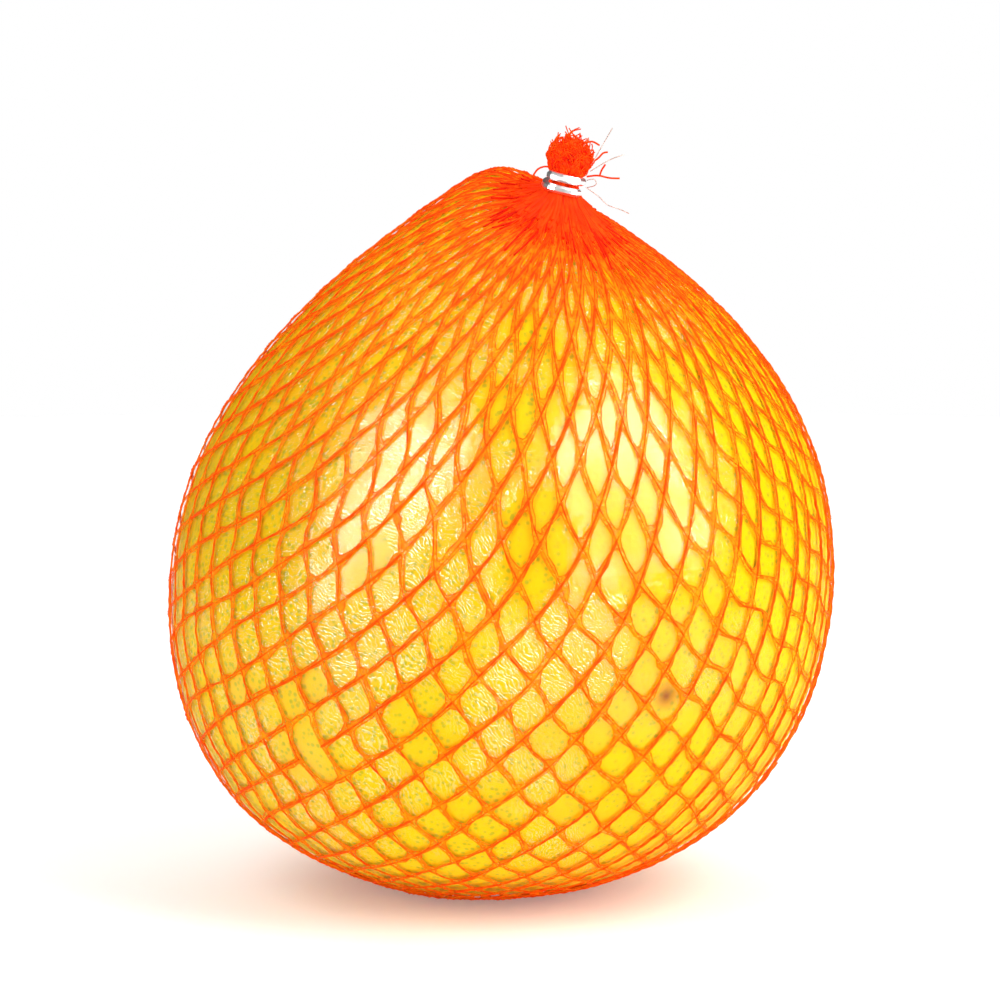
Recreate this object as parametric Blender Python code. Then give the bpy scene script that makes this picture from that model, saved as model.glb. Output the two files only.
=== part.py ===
"""A pomelo in clear film and a clipped net bag, standing on its blossom end.

Metres, +Z up, the front of the fruit faces -Y. The origin lies on the table, under the centre of the
fruit's widest ring. The fruit is one solid. The film, the net and the two wire clips are pieces of their own.
"""
import math
import random

import bmesh
import bpy
from mathutils import Matrix, Vector

# The fruit's outline: two superellipse quarters that meet at the widest ring
FRUIT_RADIUS = 0.0722
RING_HEIGHT = 0.0688
CROWN_RISE = 0.0918
CROWN_BLUNT = 0.07
BASE_DROP = 0.0693
CROWN_POWERS = (1.15, 2.15)
BASE_POWERS = (2.15, 2.15)

# The blossom end is a dimple, and the fruit leans a little towards +X as it goes up
DIMPLE_DEPTH = 0.0115
DIMPLE_WIDTH = 0.0130
LEAN = 0.05
LEAN_FADE = 0.095

# Three slightly lower lobes round the dimple, on which the fruit rests
LOBE_DEPTH = 0.0008
LOBE_RADIUS = 0.0210
LOBE_WIDTH = 0.0070

# Offsets from the fruit's skin, outward: clear film, then the net
FILM_INNER = 0.0003
FILM_OUTER = 0.0007
NET_INNER = 0.0018
NET_RIDGE = 0.0028
UNDERSIDE = 0.0020

# The net: meshes round, the side of a mesh, how far rows spread within reach of the two gathers, half of a
# strand's width, where the gathers begin, and how far the last strands run on under them
MESHES = 24
MESH_SIDE = 0.0139
GATHER_SPACING = 0.0085
FOOT_REACH = 0.0460
NECK_REACH = 0.0300
STRAND_HALF = 0.0008
NECK_RIM = 0.0150
FOOT_RIM = 0.0100
RIM_OVERLAP = 0.0035
RIM_TAB = 0.001

# The neck: where it leaves the crown, how soon the meshes draw towards it, and which way it points
NECK_PLACE = Vector((0.0122, -0.0145))
NECK_DRAW = 1.4
NECK_AXIS = Vector((0.235, -0.06, 0.97)).normalized()
NECK_FLARE = 0.0030
NECK_FLARE_WIDTH = 0.0048

# The two gathers: a pleated skin just over the strands, then a pleated bundle through the clip
BUNDLE_RADIUS = 0.0024
COLLAR_RADIUS = 0.0030
NECK_PLEATS = 14
FOOT_PLEATS = 8
PLEAT_DEPTH = 0.0004
BUNDLE_PLEAT = 0.07
GATHER_LIFT = 0.0003
GATHER_STEPS = 5
UNDER_STEPS = 4

# The bundle above the crown: each ring's rise from the neck's base, and its half widths across and in depth
NECK_STEM = (
    (0.0022, BUNDLE_RADIUS, BUNDLE_RADIUS),
    (0.0071, BUNDLE_RADIUS, BUNDLE_RADIUS),
    (0.0088, 0.0037, 0.0029),
    (0.0112, 0.0048, 0.0032),
    (0.0136, 0.0045, 0.0031),
    (0.0146, 0.0028, 0.0020),
)

# The bundle in the dimple: each ring's drop from the collar, and its radius
FOOT_STEM = ((0.0008, BUNDLE_RADIUS), (0.0062, BUNDLE_RADIUS), (0.0070, 0.0020))

# The wire clips
WIRE_RADIUS = 0.00095
CLIP_GAP = 0.0003
CLIP_PITCH = 0.0026
CLIP_RISE = 0.0045
CLIP_OVERLAP = math.radians(115)
CLIP_SQUARENESS = 2.8
CLIP_POINTS = 30
CLIP_STEP = (0.2, 0.8)
FOOT_CLIP_DROP = 0.0039
WIRE_SIDES = 8

# How finely the smooth pieces are divided
SKIN_COLUMNS = 32
SKIN_ROWS = 20

# Loose ends round the top of the tail, and one longer yarn that stands out to the side
TAIL_STRANDS = 12
TAIL_SEED = 5
TAIL_TURN = 2 * math.pi * 0.381966
TAIL_SPREAD = (0.0029, 0.0018)
TAIL_START = (0.0100, 0.0115)
TAIL_REACH = (0.0038, 0.0054)
TAIL_UP = (0.55, 1.10)
TAIL_OUT = (0.35, 0.70)
TAIL_BEND = 0.0006
TAIL_THICKNESS = 0.0010
STRAY_START = (0.0020, 0.0092)
STRAY_RUN = Vector((0.0085, -0.0006, -0.0012))
STRAY_BEND = Vector((0, 0, 0.0010))
STRAY_THICKNESS = 0.0011
STRAND_STEPS = 3
STRAND_TAPER = 0.44


def clear_scene():
    for item in list(bpy.data.objects):
        bpy.data.objects.remove(item, do_unlink=True)


def principled(name, colour, roughness, metallic=0.0, alpha=1.0):
    material = bpy.data.materials.new(name)
    material.use_nodes = True
    shader = material.node_tree.nodes["Principled BSDF"]
    shader.inputs["Base Color"].default_value = (*colour, 1.0)
    shader.inputs["Roughness"].default_value = roughness
    shader.inputs["Metallic"].default_value = metallic
    shader.inputs["Alpha"].default_value = alpha
    return material


def add_object(name, mesh, material):
    mesh.materials.append(material)
    item = bpy.data.objects.new(name, mesh)
    bpy.context.scene.collection.objects.link(item)
    return item


def mesh_from(name, points, faces):
    mesh = bpy.data.meshes.new(name)
    mesh.from_pydata([tuple(point) for point in points], [], faces)
    mesh.validate()
    return mesh


def crown_height(distance, offset):
    """Height of the skin above a point that lies `distance` from the fruit's axis, on the upper half."""
    share = min(distance / (FRUIT_RADIUS + offset), 1.0)
    blunt = math.sqrt((share ** 2 + CROWN_BLUNT ** 2) / (1 + CROWN_BLUNT ** 2))
    radius_power, height_power = CROWN_POWERS
    return RING_HEIGHT + (CROWN_RISE + offset) * (1 - blunt ** radius_power) ** (1 / height_power)


def outline(phi, offset):
    """Radius and height of the skin, `offset` outside the fruit, at -90 degrees (base) to 90 (crown)."""
    if phi > 0:
        radius = (FRUIT_RADIUS + offset) * math.cos(phi)
        return radius, crown_height(radius, offset)
    radius_power, height_power = BASE_POWERS
    radius = (FRUIT_RADIUS + offset) * max(math.cos(phi), 0.0) ** (2 / radius_power)
    rise = abs(math.sin(phi)) ** (2 / height_power)
    dimple = DIMPLE_DEPTH * math.exp(-(radius / DIMPLE_WIDTH) ** 2)
    return radius, RING_HEIGHT - (BASE_DROP + offset) * rise + dimple


def axis_shift(height):
    above = height - RING_HEIGHT
    return LEAN * above * (1 - (above / LEAN_FADE) ** 4)


def lobe_drop(radius, angle):
    reach = math.exp(-((radius - LOBE_RADIUS) / LOBE_WIDTH) ** 2)
    return LOBE_DEPTH * reach * (0.5 + 0.5 * math.cos(3 * angle))


def skin_point(phi, angle, offset):
    radius, height = outline(phi, offset)
    drop = lobe_drop(radius, angle) if phi < 0 else 0.0
    return Vector((axis_shift(height) + radius * math.cos(angle), radius * math.sin(angle), height - drop))


def net_point(phi, angle, offset):
    """A point of the net: below the ring it lies on the skin, and above it the meshes draw to the neck."""
    if phi <= 0:
        return skin_point(phi, angle, offset)
    radius, height = outline(phi, offset)
    draw = (1 - radius / (FRUIT_RADIUS + offset)) ** NECK_DRAW
    out = NECK_PLACE * draw + Vector((math.cos(angle), math.sin(angle))) * radius
    flare = NECK_FLARE * math.exp(-(radius / NECK_FLARE_WIDTH) ** 2)
    height = crown_height(out.length, offset) + flare
    return Vector((axis_shift(height) + out.x, out.y, height))


def skin_angles():
    """Rows of the fruit and the film, evenly from the base to the crown."""
    return [math.radians(-90 + 180 * row / SKIN_ROWS) for row in range(SKIN_ROWS + 1)]


def fruit_mesh():
    angles = skin_angles()
    points = [skin_point(angles[0], 0, 0)]
    for phi in angles[1:-1]:
        points += [skin_point(phi, 2 * math.pi * step / SKIN_COLUMNS, 0) for step in range(SKIN_COLUMNS)]
    points.append(skin_point(angles[-1], 0, 0))
    top = len(points) - 1
    faces = []
    for step in range(SKIN_COLUMNS):
        after = (step + 1) % SKIN_COLUMNS
        faces.append((0, 1 + after, 1 + step))
        for row in range(SKIN_ROWS - 2):
            low = 1 + row * SKIN_COLUMNS
            high = low + SKIN_COLUMNS
            faces.append((low + step, low + after, high + after, high + step))
        last = 1 + (SKIN_ROWS - 2) * SKIN_COLUMNS
        faces.append((last + step, last + after, top))
    return mesh_from("pomelo_fruit", points, faces)


def film_mesh():
    """A thin shell round the fruit, open at a small mouth that is tucked into the dimple underneath."""
    angles = skin_angles()[1:-1]
    points = []
    for offset in (FILM_OUTER, FILM_INNER):
        for phi in angles:
            points += [skin_point(phi, 2 * math.pi * step / SKIN_COLUMNS, offset) for step in range(SKIN_COLUMNS)]
        points.append(skin_point(math.radians(90), 0, offset))
    layer = len(angles) * SKIN_COLUMNS + 1
    faces = []
    for step in range(SKIN_COLUMNS):
        after = (step + 1) % SKIN_COLUMNS
        for row in range(len(angles) - 1):
            low = row * SKIN_COLUMNS
            high = low + SKIN_COLUMNS
            faces.append((low + step, low + after, high + after, high + step))
            faces.append((layer + low + after, layer + low + step, layer + high + step, layer + high + after))
        last = (len(angles) - 1) * SKIN_COLUMNS
        faces.append((last + step, last + after, layer - 1))
        faces.append((layer + last + after, layer + last + step, 2 * layer - 1))
        faces.append((after, step, layer + step, layer + after))
    return mesh_from("film_wrap", points, faces)


def phi_at_radius(radius, upper):
    """The angle of the outline, on the net's ridge, at which it has this radius."""
    low, high = (0.0, math.pi / 2)
    for _ in range(50):
        middle = (low + high) / 2
        if outline(middle if upper else -middle, NET_RIDGE)[0] > radius:
            low = middle
        else:
            high = middle
    return low if upper else -low


def net_rows():
    """Angles of the net's rows of joints. A mesh keeps its side, so rows spread where the ring is narrow."""
    rows = [0.0]
    for direction, rim in ((1, NECK_RIM), (-1, FOOT_RIM)):
        phi = 0.0
        found = []
        while True:
            start = Vector(outline(phi, NET_RIDGE))
            half_cell = math.pi * start.x / MESHES
            spacing = math.sqrt(MESH_SIDE ** 2 - half_cell ** 2)
            if start.x < (NECK_REACH if direction > 0 else FOOT_REACH):
                spacing = min(spacing, GATHER_SPACING)
            travelled = 0.0
            here = start
            while travelled < spacing and abs(phi) < math.radians(89.5):
                phi += direction * math.radians(0.05)
                there = Vector(outline(phi, NET_RIDGE))
                travelled += (there - here).length
                here = there
            if here.x < rim or abs(phi) >= math.radians(89.5):
                break
            found.append(phi)
        found.append(phi_at_radius(rim - RIM_OVERLAP, direction > 0))
        rows = rows + found if direction > 0 else found[::-1] + rows
    return rows


def lattice_mesh():
    """The diamond meshes: three-sided strands, flat inside and ridged outside, joined where they cross."""
    rows = net_rows()
    points = []
    for row, phi in enumerate(rows):
        below = rows[max(row - 1, 0)]
        above = rows[min(row + 1, len(rows) - 1)]
        for column in range(MESHES):
            angle = 2 * math.pi * (column + 0.5 * (row % 2)) / MESHES
            ridge = net_point(phi, angle, NET_RIDGE)
            inner = net_point(phi, angle, NET_INNER)
            across = net_point(phi, angle + 0.01, NET_INNER) - net_point(phi, angle - 0.01, NET_INNER)
            half_cell = across.length / 0.02 * math.pi / MESHES
            span = (net_point(above, angle, NET_INNER) - net_point(below, angle, NET_INNER)).length
            spacing = span / 2 if below < phi < above else span
            side = math.hypot(half_cell, spacing)
            sideways = min(STRAND_HALF * side / spacing, 0.45 * half_cell)
            upwards = min(STRAND_HALF * side / half_cell, 0.4 * spacing)
            turn = sideways / half_cell * math.pi / MESHES
            points += [ridge, net_point(phi, angle + turn, NET_INNER), net_point(phi, angle - turn, NET_INNER)]
            points.append(slide(inner, phi, above, angle, upwards, spacing))
            points.append(slide(inner, phi, below, angle, upwards, spacing))
    faces = []
    last = len(rows) - 1
    for row in range(len(rows)):
        for column in range(MESHES):
            ridge, right, left, top, bottom = corners(row, column)
            faces += [(right, bottom, left), (right, left, top)]
            if row == 0:
                faces += [(ridge, left, bottom), (ridge, bottom, right)]
            if row == last:
                faces += [(ridge, right, top), (ridge, top, left)]
                continue
            up_ridge, _, up_left, _, up_bottom = corners(row + 1, column + row % 2)
            faces += [(ridge, up_ridge, up_left, top), (ridge, right, up_bottom, up_ridge)]
            faces.append((top, up_left, up_bottom, right))
            up_ridge, up_right, _, _, up_bottom = corners(row + 1, column + row % 2 - 1)
            faces += [(ridge, top, up_right, up_ridge), (ridge, up_ridge, up_bottom, left)]
            faces.append((top, left, up_bottom, up_right))
    mesh = mesh_from("net_lattice", points, faces)
    make_outward(mesh)
    return mesh


def slide(inner, phi, toward, angle, distance, spacing):
    """The inner point moved along its meridian towards the row at `toward`, or past the last row."""
    if toward == phi:
        onward = inner - net_point(phi * 0.98, angle, NET_INNER)
        return inner + onward.normalized() * min(distance, RIM_TAB)
    return net_point(phi + (toward - phi) * distance / spacing, angle, NET_INNER)


def corners(row, column):
    """Numbers of a joint's five points: its ridge, then the inner ones right, left, above and below."""
    start = (row * MESHES + column % MESHES) * 5
    return tuple(range(start, start + 5))


def make_outward(mesh):
    work = bmesh.new()
    work.from_mesh(mesh)
    bmesh.ops.recalc_face_normals(work, faces=work.faces)
    work.to_mesh(mesh)
    work.free()


def ring_frame(axis):
    side = Vector((0, 1, 0)).cross(axis).normalized()
    return side, axis.cross(side)


def gather_mesh(name, upper, rim, pleats, stem_rings):
    """Where the meshes close up: a pleated skin from the rim inwards, then the bundle along its axis.

    stem_rings holds (centre, axis, half width across, half width in depth) for each ring of the bundle."""
    columns = 2 * pleats
    rings = []
    for step in range(GATHER_STEPS):
        radius = rim + (COLLAR_RADIUS - rim) * step / (GATHER_STEPS - 1)
        phi = phi_at_radius(radius, upper)
        ring = []
        for column in range(columns):
            pleat = PLEAT_DEPTH * (1 if column % 2 else -1)
            ring.append(net_point(phi, 2 * math.pi * column / columns, NET_RIDGE + GATHER_LIFT + pleat))
        rings.append(ring)
    for centre, axis, across, deep in stem_rings:
        side, front = ring_frame(axis)
        ring = []
        for column in range(columns):
            angle = 2 * math.pi * column / columns
            pleat = 1 + BUNDLE_PLEAT * (1 if column % 2 else -1)
            out = side * (across * math.cos(angle)) + front * (deep * math.sin(angle))
            ring.append(centre + out * pleat)
        rings.append(ring)
    under = []
    for step in range(UNDER_STEPS):
        phi = phi_at_radius(rim * (1 - step / UNDER_STEPS), upper)
        under.append([net_point(phi, 2 * math.pi * column / columns, UNDERSIDE) for column in range(columns)])
    points = [point for ring in under[::-1] + rings for point in ring]
    count = len(under) + len(rings)
    faces = []
    for ring in range(count - 1):
        for column in range(columns):
            after = (column + 1) % columns
            low = ring * columns
            faces.append((low + column, low + after, low + columns + after, low + columns + column))
    start = len(points)
    points.append(sum(under[-1], Vector()) / columns)
    points.append(sum(rings[-1], Vector()) / columns)
    last = (count - 1) * columns
    for column in range(columns):
        after = (column + 1) % columns
        faces.append((start, after, column))
        faces.append((last + column, last + after, start + 1))
    mesh = mesh_from(name, points, faces)
    make_outward(mesh)
    return mesh


def neck_base():
    """The middle of the collar that the neck rises from."""
    phi = phi_at_radius(COLLAR_RADIUS, True)
    return (net_point(phi, 0, NET_RIDGE) + net_point(phi, math.pi, NET_RIDGE)) / 2


def foot_base():
    """The middle of the collar underneath, where the lower bundle starts."""
    height = net_point(phi_at_radius(COLLAR_RADIUS, False), 0, NET_RIDGE).z
    return Vector((axis_shift(height), 0, height))


def neck_rings():
    """The bundle through the clip, then the tail that spreads above it."""
    base = neck_base()
    return [(base + NECK_AXIS * rise, NECK_AXIS, across, deep) for rise, across, deep in NECK_STEM]


def foot_rings():
    """The short lower bundle, which stays inside the dimple."""
    base = foot_base()
    up = Vector((0, 0, 1))
    return [(base - up * drop, up, radius, radius) for drop, radius in FOOT_STEM]


def strand_mesh(name, start, end, bend, thickness):
    """A loose end of yarn: a bent, tapered bar with four sides."""
    points = []
    side, front = ring_frame((end - start).normalized())
    for step in range(STRAND_STEPS + 1):
        share = step / STRAND_STEPS
        centre = start.lerp(end, share) + bend * (share * (1 - share) * 4)
        half = thickness / 2 * (1 - STRAND_TAPER * share)
        points += [centre + side * half, centre + front * half, centre - side * half, centre - front * half]
    faces = [(3, 2, 1, 0), tuple(STRAND_STEPS * 4 + corner for corner in range(4))]
    for step in range(STRAND_STEPS):
        for corner in range(4):
            after = (corner + 1) % 4
            low = step * 4
            faces.append((low + corner, low + after, low + 4 + after, low + 4 + corner))
    mesh = mesh_from(name, points, faces)
    make_outward(mesh)
    return mesh


def tail_strands():
    """Loose ends that stand out of the tail, and one longer yarn to the side."""
    draw = random.Random(TAIL_SEED)
    base = neck_base()
    side, front = ring_frame(NECK_AXIS)
    meshes = []
    for number in range(TAIL_STRANDS):
        angle = TAIL_TURN * number
        out = side * (math.cos(angle) * TAIL_SPREAD[0]) + front * (math.sin(angle) * TAIL_SPREAD[1])
        start = base + NECK_AXIS * draw.uniform(*TAIL_START) + out
        run = NECK_AXIS * draw.uniform(*TAIL_UP) + out / TAIL_SPREAD[0] * draw.uniform(*TAIL_OUT)
        end = start + run * draw.uniform(*TAIL_REACH)
        bend = Vector([draw.uniform(-TAIL_BEND, TAIL_BEND) for _ in range(3)])
        meshes.append(strand_mesh("tail_strand", start, end, bend, TAIL_THICKNESS))
    start = base + side * STRAY_START[0] + NECK_AXIS * STRAY_START[1]
    meshes.append(strand_mesh("tail_strand", start, start + STRAY_RUN, STRAY_BEND, STRAY_THICKNESS))
    return meshes


def union_of(name, meshes, material):
    """Join closed meshes into one body and flatten it where it stands on the table."""
    group = bpy.data.collections.new(name + "_pieces")
    for mesh in meshes[1:]:
        piece = bpy.data.objects.new(mesh.name, mesh)
        group.objects.link(piece)
    body = add_object(name, meshes[0], material)
    join = body.modifiers.new("join", "BOOLEAN")
    join.operation = "UNION"
    join.operand_type = "COLLECTION"
    join.collection = group
    join.solver = "MANIFOLD"
    slab = table_cutter()
    cut = body.modifiers.new("table", "BOOLEAN")
    cut.operation = "DIFFERENCE"
    cut.object = slab
    cut.solver = "MANIFOLD"
    depsgraph = bpy.context.evaluated_depsgraph_get()
    result = bpy.data.meshes.new_from_object(body.evaluated_get(depsgraph))
    body.modifiers.clear()
    body.data = result
    for piece in list(group.objects):
        bpy.data.objects.remove(piece, do_unlink=True)
    bpy.data.collections.remove(group)
    bpy.data.objects.remove(slab, do_unlink=True)
    return body


def table_cutter():
    work = bmesh.new()
    bmesh.ops.create_cube(work, size=0.1, matrix=Matrix.Translation((0, 0, -0.05)))
    mesh = bpy.data.meshes.new("table_cutter")
    work.to_mesh(mesh)
    work.free()
    slab = bpy.data.objects.new("table_cutter", mesh)
    slab.hide_render = True
    slab.display_type = "WIRE"
    bpy.context.scene.collection.objects.link(slab)
    return slab


def clip_points(centre, axis, face):
    """Centre line of a clip: a squarish helix whose two ends pass each other in front, one above the other."""
    front = (face - axis * face.dot(axis)).normalized()
    side = axis.cross(front)
    reach = BUNDLE_RADIUS * (1 + BUNDLE_PLEAT) + CLIP_GAP + WIRE_RADIUS
    turn = 2 * math.pi + CLIP_OVERLAP
    points = []
    for step in range(CLIP_POINTS):
        share = step / (CLIP_POINTS - 1)
        angle = -CLIP_OVERLAP / 2 + turn * share
        rise = CLIP_PITCH * (0.5 - smooth_step((share - CLIP_STEP[0]) / (CLIP_STEP[1] - CLIP_STEP[0])))
        forward = math.cos(angle)
        sideways = math.sin(angle)
        power = CLIP_SQUARENESS
        radius = reach / (abs(forward) ** power + abs(sideways) ** power) ** (1 / power)
        points.append(centre + front * (radius * forward) + side * (radius * sideways) + axis * rise)
    return points


def smooth_step(share):
    share = min(max(share, 0.0), 1.0)
    return share * share * (3 - 2 * share)


def clip_mesh(name, centre, axis, face):
    """The wire: a ring of corners at each point of the centre line, and a flat cut at each end."""
    route = clip_points(centre, axis, face)
    points = []
    for number, place in enumerate(route):
        ahead = route[min(number + 1, CLIP_POINTS - 1)] - route[max(number - 1, 0)]
        ahead.normalize()
        outward = (place - centre)
        outward = (outward - ahead * outward.dot(ahead)).normalized()
        upward = ahead.cross(outward)
        for corner in range(WIRE_SIDES):
            angle = 2 * math.pi * corner / WIRE_SIDES
            points.append(place + (outward * math.cos(angle) + upward * math.sin(angle)) * WIRE_RADIUS)
    last = (CLIP_POINTS - 1) * WIRE_SIDES
    faces = [tuple(range(WIRE_SIDES)), tuple(range(last, last + WIRE_SIDES))]
    for number in range(CLIP_POINTS - 1):
        low = number * WIRE_SIDES
        for corner in range(WIRE_SIDES):
            after = (corner + 1) % WIRE_SIDES
            faces.append((low + corner, low + after, low + WIRE_SIDES + after, low + WIRE_SIDES + corner))
    mesh = mesh_from(name, points, faces)
    make_outward(mesh)
    return mesh


def build():
    clear_scene()
    peel = principled("pomelo_peel", (0.93, 0.68, 0.08), 0.42)
    film = principled("clear_film", (0.95, 0.95, 0.93), 0.12, alpha=0.25)
    yarn = principled("orange_yarn", (0.95, 0.20, 0.02), 0.5)
    wire = principled("aluminium_wire", (0.86, 0.85, 0.85), 0.35, metallic=1.0)

    add_object("pomelo_fruit", fruit_mesh(), peel)
    add_object("film_wrap", film_mesh(), film)
    net_pieces = [
        lattice_mesh(),
        gather_mesh("net_neck", True, NECK_RIM, NECK_PLEATS, neck_rings()),
        gather_mesh("net_foot", False, FOOT_RIM, FOOT_PLEATS, foot_rings()),
        *tail_strands(),
    ]
    union_of("net", net_pieces, yarn)

    front = Vector((0, -1, 0))
    add_object("clip_top", clip_mesh("clip_top", neck_base() + NECK_AXIS * CLIP_RISE, NECK_AXIS, front), wire)
    foot_centre = foot_base() - Vector((0, 0, FOOT_CLIP_DROP))
    add_object("clip_bottom", clip_mesh("clip_bottom", foot_centre, Vector((0, 0, 1)), front), wire)


build()
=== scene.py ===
"""A pomelo in clear film and a clipped orange net, on a pale floor. Metres, +Z up, the front faces -Y."""
import math

import bpy
import numpy as np
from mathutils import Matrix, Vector


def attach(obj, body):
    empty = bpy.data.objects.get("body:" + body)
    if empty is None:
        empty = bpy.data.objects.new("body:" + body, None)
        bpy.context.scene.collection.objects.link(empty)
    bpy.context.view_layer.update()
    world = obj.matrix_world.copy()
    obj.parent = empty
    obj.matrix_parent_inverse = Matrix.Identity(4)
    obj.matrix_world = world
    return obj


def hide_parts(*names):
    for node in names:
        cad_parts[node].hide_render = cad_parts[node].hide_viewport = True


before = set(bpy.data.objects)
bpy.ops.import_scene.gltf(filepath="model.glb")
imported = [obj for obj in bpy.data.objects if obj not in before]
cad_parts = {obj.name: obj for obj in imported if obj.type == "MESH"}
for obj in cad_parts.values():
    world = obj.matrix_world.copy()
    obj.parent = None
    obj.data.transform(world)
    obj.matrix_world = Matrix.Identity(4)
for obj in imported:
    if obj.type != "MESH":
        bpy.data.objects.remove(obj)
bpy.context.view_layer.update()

# Camera, floor and light
# The picture was taken from a little above the table with a long lens. Two tall soft boxes stand at the
# front left and front right and a wide one hangs above and behind. A white card beside each tall box shows
# only as gloss. The table and the room behind are white.
VIEW_LIFT = math.radians(8.0)
VIEW_DISTANCE = 1.0
VIEW_POINT = Vector((-0.0002, 0.0, 0.0879))
LENS = 160.0
SENSOR_WIDTH = 36.0
LAMP_AIM = Vector((0, 0, 0.08))
# Direction from the fruit, distance, width, height and watts of each lamp
LEFT_BOX = ((-0.54, -0.60, 0.60), 1.1, 0.50, 1.05, 7.2)
RIGHT_BOX = ((0.74, -0.42, 0.58), 1.1, 0.62, 1.10, 14.0)
TOP_BOX = ((0.0, 0.60, 1.0), 1.4, 2.8, 2.2, 26.0)
LEFT_CARD = ((-0.66, -0.60, 0.46), 1.1, 0.80, 1.10, 22.0)
RIGHT_CARD = ((0.66, -0.60, 0.50), 1.1, 0.80, 1.10, 26.0)
WHITE = (1.0, 1.0, 1.0, 1.0)
ROOM_LIGHT = 0.04
FLOOR_RADIUS = 0.9
FLOOR_SIDES = 96
FLOOR_COLOUR = (0.95, 0.95, 0.95, 1.0)
FLOOR_ROUGHNESS = 0.6
FLOOR_GLOW = 0.21

bpy.ops.object.select_all(action="DESELECT")
view_from = VIEW_POINT + Vector((0, -math.cos(VIEW_LIFT), math.sin(VIEW_LIFT))) * VIEW_DISTANCE
bpy.ops.object.camera_add(location=view_from)
camera = bpy.context.object
camera.rotation_euler = (VIEW_POINT - view_from).to_track_quat("-Z", "Y").to_euler()
camera.data.lens = LENS
camera.data.sensor_width = SENSOR_WIDTH
bpy.context.scene.camera = camera
bpy.context.scene.view_settings.view_transform = "Standard"


def soft_box(name, toward, distance, width, height, power):
    """A rectangular lamp that faces the fruit."""
    place = LAMP_AIM + Vector(toward).normalized() * distance
    bpy.ops.object.light_add(type="AREA", location=place)
    lamp = bpy.context.object
    lamp.name = name
    lamp.data.shape = "RECTANGLE"
    lamp.data.size = width
    lamp.data.size_y = height
    lamp.data.energy = power
    lamp.rotation_euler = (LAMP_AIM - place).to_track_quat("-Z", "Y").to_euler()
    return lamp


soft_box("soft_box_left", *LEFT_BOX)
soft_box("soft_box_right", *RIGHT_BOX)
soft_box("soft_box_top", *TOP_BOX).visible_glossy = False
soft_box("white_card_left", *LEFT_CARD).visible_diffuse = False
soft_box("white_card_right", *RIGHT_CARD).visible_diffuse = False

room = bpy.data.worlds.new("white_room")
room.use_nodes = True
room_tree = room.node_tree
room_light = room_tree.nodes["Background"]
room_light.inputs["Color"].default_value = WHITE
room_light.inputs["Strength"].default_value = ROOM_LIGHT
room_seen = room_tree.nodes.new("ShaderNodeBackground")
room_seen.inputs["Color"].default_value = WHITE
room_path = room_tree.nodes.new("ShaderNodeLightPath")
room_mix = room_tree.nodes.new("ShaderNodeMixShader")
room_tree.links.new(room_path.outputs["Is Camera Ray"], room_mix.inputs["Fac"])
room_tree.links.new(room_light.outputs[0], room_mix.inputs[1])
room_tree.links.new(room_seen.outputs[0], room_mix.inputs[2])
room_tree.links.new(room_mix.outputs[0], room_tree.nodes["World Output"].inputs["Surface"])
bpy.context.scene.world = room

bpy.ops.mesh.primitive_circle_add(vertices=FLOOR_SIDES, radius=FLOOR_RADIUS, fill_type="NGON")
floor = bpy.context.object
floor.name = "floor"
floor_paint = bpy.data.materials.new("floor_paint")
floor_paint.use_nodes = True
floor_shader = floor_paint.node_tree.nodes["Principled BSDF"]
floor_shader.inputs["Base Color"].default_value = FLOOR_COLOUR
floor_shader.inputs["Roughness"].default_value = FLOOR_ROUGHNESS
floor_shader.inputs["Emission Color"].default_value = WHITE
floor_shader.inputs["Emission Strength"].default_value = FLOOR_GLOW
floor.data.materials.append(floor_paint)

# The fruit
# One grown body: a thick, waxy, yellow peel over pith and flesh, with a blunt crown and a dimple at the
# blossom end. The peel is dotted with oil glands, and a darker, greener painted shade lies on its left side.
PEEL_RADIUS = 0.0722
RING_HEIGHT = 0.0688
CROWN_RISE = 0.0918
CROWN_BLUNT = 0.07
BASE_DROP = 0.0693
CROWN_POWERS = (1.15, 2.15)
BASE_POWERS = (2.15, 2.15)
DIMPLE_DEPTH = 0.0115
DIMPLE_WIDTH = 0.0130
LEAN = 0.05
LEAN_FADE = 0.095
LOBES = 3
LOBE_DEPTH = 0.0008
LOBE_RADIUS = 0.0210
LOBE_WIDTH = 0.0070
CROWN_LIFT = 0.0018
CROWN_LIFT_WIDTH = 0.016
SWELL = 0.0015
SWELL_FROM = -0.95
SWELL_FULL = -0.60
OUTLINE_STEPS = 4001
PEEL_STEPS = (168, 116)
PEEL_LIFT = 0.00010
PEEL_UNEVEN = 0.00010
# Seed, number of waves, and slowest and fastest wave
PEEL_WAVES = (3, 10, 8, 22)
PEEL_TONES = [(0.30, (0.80, 0.54, 0.001)), (0.48, (0.90, 0.55, 0.001)), (0.70, (0.94, 0.47, 0.001))]
PEEL_TONE_NOISE = (16.0, 3.0, 0.55)
PEEL_ROUGHNESS = 0.5
PEEL_SPECULAR = 0.04
# Painted shade: a darker, greener tone that grows towards the left side, in patches
PAINTED_SHADE_TONE = (0.66, 0.50, 0.002)
PAINTED_SHADE_TO_LEFT = -9.0
PAINTED_SHADE_MIDDLE = 0.10
PAINTED_SHADE_NOISE = (30.0, 2.0)
GLAND_SCALE = 690.0
GLAND_RANDOM = 0.9
GLAND_EDGE = (0.22, 0.48)
GLAND_TONE = (0.42, 0.40, 0.012)
GLAND_SHARE = (0.80, 0.80, 0.80)
GLAND_PATCHES = (140.0, 1.0)
GLAND_PATCH_EDGE = (0.32, 0.52)
GLAND_PATCH_LEAST = 0.45
GLAND_BUMP = (0.30, 0.0003)
SCAR_WAY = np.array([0.0359, -0.0637, -0.0140])
SCAR_RADIUS = 0.00176
SCAR_TONE = (0.26, 0.05, 0.004)


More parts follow.
